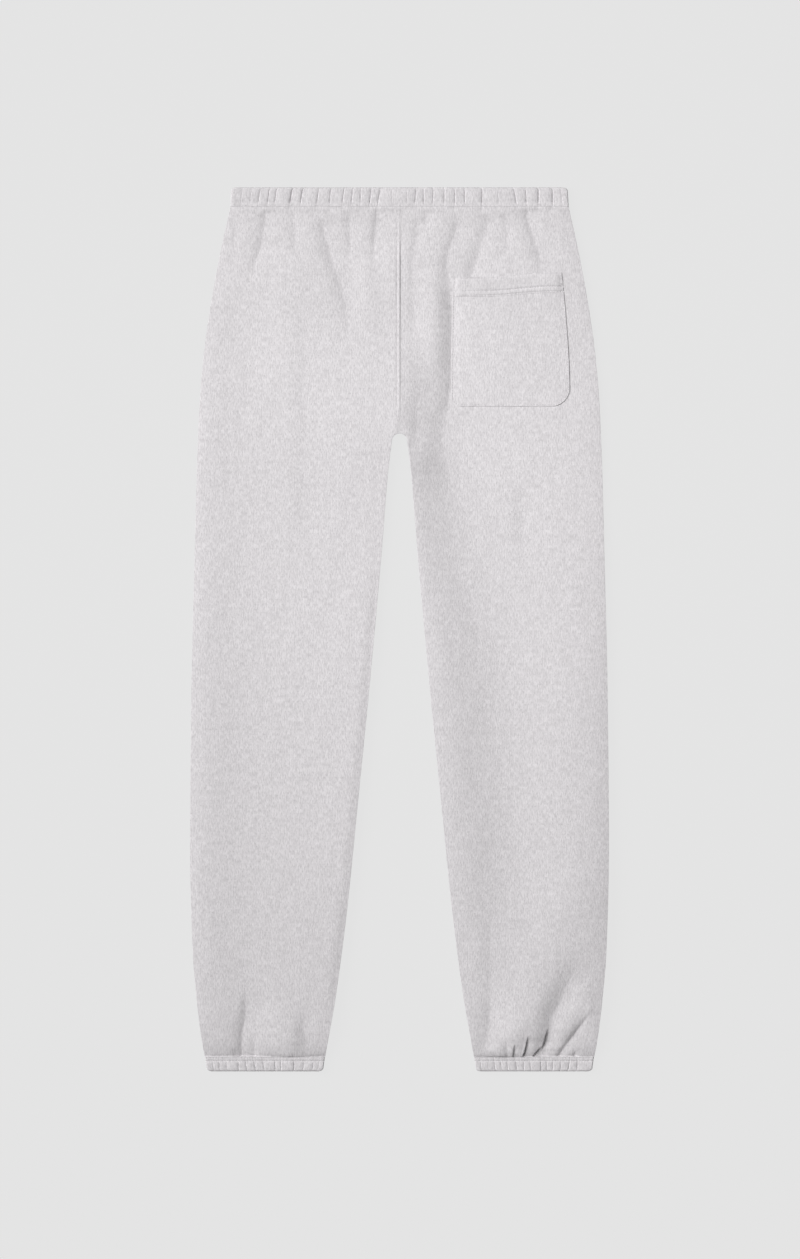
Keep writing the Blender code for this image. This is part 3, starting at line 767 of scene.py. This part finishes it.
# Waistband and cuffs.


def makeCasing(name, casing):
    # Its section: up the outer face to the seam, over the raw end, down the inner face and round the hem
    middle, angle, run = casingLoop(casing, *casing["steps"])
    half, depth = halfWall, casing["depth"]
    hem = np.linspace(0, math.pi, 9)[1:-1]
    (rows, crowding), innerRows = casingForm["rows"], 4
    out = np.concatenate([np.full(rows, half), np.full(innerRows, -half), -half * np.cos(hem)])
    rise = depth - (depth - half) * np.linspace(1, 0, rows) ** crowding
    up = np.concatenate([rise, np.linspace(depth, half, innerRows), half * (1 - np.sin(hem))])
    points = casingPoint(casing, middle[:, None], angle[:, None], out[None], up[None])
    ring = np.stack([out, up], axis=1)
    section = runAlong(np.concatenate([ring, ring[:1]]))
    uv = np.stack(np.meshgrid(run, section, indexing="ij"), axis=-1) + casing["centre"]
    piece = makeRing(name, points, uv, casingFleece)
    return piece


for node, casing in casings.items():
    pieces[node] = makeCasing("gathered_" + node, casing)
print("waistband and cuffs: made")


# Back pocket.


pocketForm = {
    "climb": (0.30, 0.90),  # the mouth climbs between these shares of its width
    "leftEdge": (0.25, 0.014),  # its share of the edges' thickness, and how far in it has it all
    "clothReach": 0.020,  # how far in the cloth and the hem get to their thickness
    "hemReach": 0.008,
    "mouth": (0.0004, 0.0042),  # the same at the mouth, from a little outside it
    "hemEnd": (0.0006, 0.0012),  # where it ends below its second line, and how fast
    "edgeDip": (0.0002, 0.0008, 0.012),  # drawn in at the edge's stitching: depth, widths out and in
    "hemDip": (0.0008, 0.0009),  # and at the hem's: depth and width
    "hemDipLeft": (0.15, 0.008, 0.035),  # its share at the left end, to this far in, and how fast it grows
    "rim": (0.12, 0.0005),  # the share of the height at the outline, and how far in it is all there
    "waves": 0.00012,
}


def pocketLines(s):
    # x of the pocket's left and right sides at s, bowed as a square of the height
    lean = 1 - ((pocket["bottom"] - s) / (pocket["bottom"] - pocket["top"])) ** 2
    return [top + (low - top) * lean for top, low in (pocket["left"], pocket["right"])]


def pocketSides(s):
    # The same, cut by the round corners
    left, right = pocketLines(s)
    up = pocket["bottom"] - s
    return left + roundCut(up, pocket["cornerLeft"]), right - roundCut(up, pocket["cornerRight"])


def pocketPlace(u, v):
    # x and s of the pocket's point at u, from 0 to 1 across it, and v, which is s at its left side. Near the
    # mouth the rows climb to the right.
    left, right = pocketSides(v)
    x = left + (right - left) * u
    start, end = pocketForm["climb"]
    climb = pocket["tilt"] * smoothStep((u - start) / (end - start))
    return x, v - climb * (1 - smoothStep((v - pocket["top"]) / pocket["tiltReach"]))


def pocketEdge(x, v):
    # Distance in from the pocket's outline, round its lower corners
    left, right = pocketLines(v)
    fromLeft, fromRight, fromBottom = x - left, right - x, pocket["bottom"] - v
    distance = np.minimum(np.minimum(fromLeft, fromRight), fromBottom)
    for side, radius in ((fromLeft, pocket["cornerLeft"]), (fromRight, pocket["cornerRight"])):
        corner = radius - np.hypot(np.clip(radius - side, 0, None), np.clip(radius - fromBottom, 0, None))
        distance = np.where((side < radius) & (fromBottom < radius), corner, distance)
    return np.clip(distance, 0, None)


pocketFolds = [
    ([(102, 110), (102, 180), (102, 262)], 1.1, 42, 60, 2.0, 30, 50),
    ([(152, 96), (154, 130)], -0.6, 30, 10, 2.0, 5, 8),
]


def pocketTop(x, s, v):
    # The pocket's outer face over the seat: its cloth, thicker at the hem, rounded at the outline and drawn
    # down along every line of stitching
    edge, down, fromLeft = pocketEdge(x, v), v - pocket["top"], x - pocket["left"][0]
    form = pocketForm
    below, fast = form["hemEnd"]
    hem = 1 - smoothStep((down - pocket["hemLines"][1] - below) / fast)
    share, reach = form["leftEdge"]
    low = pocket["edgeCloth"] * (share + (1 - share) * smoothStep(fromLeft / reach))
    thick = low + (pocket["cloth"] - low) * smoothStep(edge / form["clothReach"])
    thick = thick + pocket["hemCloth"] * hem * smoothStep(edge / form["hemReach"])
    outside, reach = form["mouth"]
    thick = thick * smoothStep((down + outside) / reach)
    dip, outwards, inwards = form["edgeDip"]
    dips = dip * np.exp(-np.abs(inWidths(edge - pocket["edgeLine"], outwards, inwards)))
    share, start, reach = form["hemDipLeft"]
    drawn = share + (1 - share) * smoothStep((fromLeft - start) / reach)
    dip, width = form["hemDip"]
    for line in pocket["hemLines"]:
        dips = dips + dip * np.exp(-(((down - line) / width) ** 2)) * drawn
    share, reach = form["rim"]
    rounded = share + (1 - share) * quarterRound(edge, reach)
    relief = foldRelief(x, s, pocketFolds) + softWaves(x, s, 11, form["waves"])
    return backHeight(x, s) + pocket["gap"] + (thick - dips + relief) * rounded


def makePocket():
    # A patch of cloth on the seat. Its columns and rows crowd near its edges and along its stitching.
    near = np.array([0, 0.1, 0.3, 0.6, 1.0, 1.5, 2.0, 2.5, 3.0, 3.5, 4.1, 4.8, 5.6, 6.6, 7.8, 9.2, 11.0])
    near /= 134  # from millimetres in from a side to shares of the pocket's width
    u = np.concatenate([near, np.linspace(near[-1], 1 - near[-1], 64)[1:-1], 1 - near[::-1]])
    mouth = [0, 0.1, 0.3, 0.6, 1.0, 1.6]  # mm down from it
    top = np.concatenate([mouth, np.linspace(2.4, 15.0, 10), np.linspace(15.5, 24.5, 20)])
    corner = pocket["bottom"] - pocket["cornerRight"] * (1 - np.sin(np.linspace(0.05, math.pi / 2, 30)))
    flat = np.linspace(pocket["top"] + 26 * mm, corner[0] - mm, 58)
    v = np.concatenate([pocket["top"] + top * mm, flat, corner])
    u, v = np.meshgrid(u, v)
    x, s = pocketPlace(u, v)
    y = waistY - s
    outer = np.stack([x, y, pocketTop(x, s, v)], axis=-1)
    inner = np.stack([x, y, backHeight(x, s) + pocket["gap"]], axis=-1)
    uv = np.stack([x + 0.07, 0.4 - s], axis=-1)
    piece = makeShell("patch_pocket", outer, inner, uv, panelFleece, 1)
    return piece


# Stitching.

stitch = {
    "pitch": 0.0033,
    "length": 0.0026,
    "radius": 0.00033,  # the thread is a little thicker than a real one, so that it shows
    "sink": 0.00008,
    "bow": 0.9,  # its ends go down by this many radii
    "taper": 0.7,  # how thick its end rings are, beside its middle
    "uv": (0.0004, 0.0008),  # from point to point, round it and along it
    "mouth": (0.08, 0.98),  # the twin rows run between these shares of the pocket's width
    "seam": (0.002, 0.012),  # the centre row ends this near the waistband and the crotch
}


def stitchRow(points, outward):
    # Stitches at an even pitch along a path: thin six-sided capsules that bow down at both ends
    run = runAlong(points)
    at = np.arange(stitch["pitch"] / 2, run[-1], stitch["pitch"])

    def along(rows, place):
        return np.stack([np.interp(place, run, rows[:, i]) for i in range(3)], axis=1)

    centre = along(points, at)
    ahead = unit(along(points, at + stitch["length"] / 3) - along(points, at - stitch["length"] / 3))
    up = along(np.broadcast_to(outward, points.shape), at)
    up = unit(up - ahead * np.sum(up * ahead, axis=1, keepdims=True))
    beside = np.cross(ahead, up)

    ringAt = np.repeat([-0.8, 0.0, 0.8], 6)
    turn = np.tile(np.arange(6) * math.pi / 3, 3)
    thick = np.repeat([stitch["taper"], 1.0, stitch["taper"]], 6) * stitch["radius"]
    length = np.concatenate([[-1], ringAt, [1]]) * stitch["length"] / 2
    wide = np.concatenate([[0], thick * np.cos(turn), [0]])
    high = np.concatenate([[0], thick * np.sin(turn), [0]]) - stitch["sink"]
    high -= stitch["bow"] * stitch["radius"] * (length / stitch["length"] * 2) ** 4
    return (centre[:, None] + length[:, None] * ahead[:, None] + wide[:, None] * beside[:, None]
            + high[:, None] * up[:, None])


def makeStitches(name, rows, thread, outward=(0, 0, 1)):
    # Every stitch is the same mesh of 20 points: a tip, three rings of six and a tip
    stitches = np.concatenate([stitchRow(points, outward) for points in rows])
    rings = np.pad(np.arange(1, 19).reshape(3, 6), ((0, 0), (0, 1)), mode="wrap")
    template = np.concatenate([
        np.stack([np.full(6, 0), rings[0, 1:], rings[0, :-1]], axis=1), cellTriangles(rings),
        np.stack([rings[2, :-1], rings[2, 1:], np.full(6, 19)], axis=1),
    ])
    faces = (np.arange(len(stitches))[:, None, None] * 20 + template).reshape(-1, 3)
    flat = np.stack([np.arange(20) % 6, np.arange(20) // 6], axis=1) * stitch["uv"]
    uv = np.tile(flat[template].reshape(-1, 3, 2), (len(stitches), 1, 1))
    return makePiece(name, stitches.reshape(-1, 3), faces, uv, thread)


def casingStitches(name, casing):
    # Stitching all round a casing, in the dips of its outer face
    middle, angle, _ = casingLoop(casing, 300, 300, 12)
    middle, angle = np.append(middle, middle[0]), np.append(angle, angle[0])
    outward = np.stack([np.cos(angle), 0 * angle, np.sin(angle)], axis=1)
    rows = [casingPoint(casing, middle, angle, halfWall, casing["depth"] - line)
            for line, _ in casing["stitched"]]
    return makeStitches(name, rows, greyThread, outward)


def pocketStitches():
    # Twin rows under the hem, and one row round the sides and the bottom, even with the outline
    rows, u = [], np.linspace(*stitch["mouth"], 160)
    for line in pocket["hemLines"]:
        v = np.full(len(u), pocket["top"] + line)
        x, s = pocketPlace(u, v)
        rows.append(np.stack([x, waistY - s, pocketTop(x, s, v)], axis=1))
    inset, low = pocket["edgeLine"], pocket["bottom"] - pocket["edgeLine"]
    down = np.linspace(pocket["top"] + mm, pocket["bottom"] - pocket["cornerRight"], 80)
    left, right = pocketSides(down)
    turn = np.linspace(0, math.pi / 2, 14)
    leftArc, rightArc = pocket["cornerLeft"] - inset, pocket["cornerRight"] - inset
    leftTurn, rightTurn = low - leftArc * (1 - np.sin(turn)), low - rightArc * (1 - np.cos(turn))
    v = np.concatenate([down, leftTurn, rightTurn, down[::-1]])
    x = np.concatenate([
        left + inset, pocket["left"][1] + inset + leftArc * (1 - np.cos(turn)),
        pocket["right"][1] - inset - rightArc * (1 - np.sin(turn)), right[::-1] - inset,
    ])
    edgeLeft, edgeRight = pocketSides(v)
    u = np.clip((x - edgeLeft) / (edgeRight - edgeLeft), 0, 1)
    s = pocketPlace(u, v)[1]
    rows.append(np.stack([x, waistY - s, pocketTop(x, s, v)], axis=1))
    return makeStitches("thread_pocket", rows, greyThread)


def seamStitches():
    # The topstitching beside the centre seam
    below, above = stitch["seam"]
    s = np.linspace(legTop + below, crotch - above, 400)
    x = np.full(len(s), centreSeam["topstitch"][0] * mm)
    row = np.stack([x, waistY - s, backHeight(x, s)], axis=1)
    return makeStitches("thread_centre_seam", [row], paleThread)


threads = [(pocketStitches(), "fleece"), (seamStitches(), "fleece")]
for node in ("cuff_left", "cuff_right"):
    threads.append((casingStitches("thread_" + node, casings[node]), "elastic_casing"))
pieces["back_pocket"] = makePocket()
print("pocket and stitching: made")

for node, piece in pieces.items():
    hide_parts(node)
    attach(piece, "root")
for piece, slot in threads:
    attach(piece, "root")


# Floor, light and camera.

studio = {
    "floor": 12.0,
    "floorLevel": -0.0004,
    "floorGlow": 0.755,  # the floor's own light, and how much of the lamps' it gives back
    "floorShade": 0.02,
    "fill": 0.07,
    "key": 4.2,
    "keyAngles": (45, 20, 50),  # degrees: elevation, azimuth from -X towards +Y, and width, for soft shadows
    "overhead": 1.15,
    "overheadAt": (0.0, 0.25, 0.54),
    "overheadSize": (1.2, 0.45),
    "lens": 600,  # from far off, so that the cut shows true
    "frameHeight": 1.4856,  # metres in view, from top to bottom
    "aim": (0.0006, -0.0002, 0.004),
}


def makeFloor():
    # A seamless paper floor that glows, so that it stays one pale tone with a trace of shadow
    half = studio["floor"] / 2
    around = ((-half, -half), (half, -half), (half, half), (-half, half))
    mesh = bpy.data.meshes.new("floor")
    mesh.from_pydata([(x, y, studio["floorLevel"]) for x, y in around], [], [(0, 1, 2, 3)])
    material, tree = newMaterial("seamless_paper")
    shade = studio["floorShade"]
    shader = addNode(tree, "BsdfPrincipled", {}, **{
        "Base Color": (shade, shade, shade, 1), "Roughness": 1.0, "Specular IOR Level": 0.0,
        "Emission Color": (1, 1, 1, 1), "Emission Strength": studio["floorGlow"],
    })
    addNode(tree, "OutputMaterial", {}, Surface=shader.outputs[0])
    mesh.materials.append(material)
    addObject("floor", mesh)


def addLight(name, kind, **settings):
    # A light with its settings
    light = bpy.data.lights.new(name, kind)
    for key, value in settings.items():
        setattr(light, key, value)
    return addObject(name, light)


makeFloor()
elevation, azimuth, width = np.radians(studio["keyAngles"])
key = addLight("key", "SUN", energy=studio["key"], angle=width)
key.rotation_euler = (0, elevation - math.pi / 2, -azimuth)
wide, deep = studio["overheadSize"]
overhead = addLight("overhead", "AREA", energy=studio["overhead"], shape="RECTANGLE", size=wide, size_y=deep)
overhead.location = studio["overheadAt"]
overhead.visible_camera = False

world = bpy.data.worlds.new("studio")
world.use_nodes = True
background = world.node_tree.nodes["Background"]
background.inputs[0].default_value = (1, 1, 1, 1)
background.inputs[1].default_value = studio["fill"]
bpy.context.scene.world = world
bpy.context.scene.view_settings.view_transform = "Standard"

camera = addObject("camera", bpy.data.cameras.new("camera"))
camera.data.lens = studio["lens"]
distance = studio["frameHeight"] * studio["lens"] / camera.data.sensor_width
camera.location = np.array(studio["aim"]) + (0, 0, distance)
camera.data.clip_start, camera.data.clip_end = 0.1, 50
bpy.context.scene.camera = camera
print("studio: set")
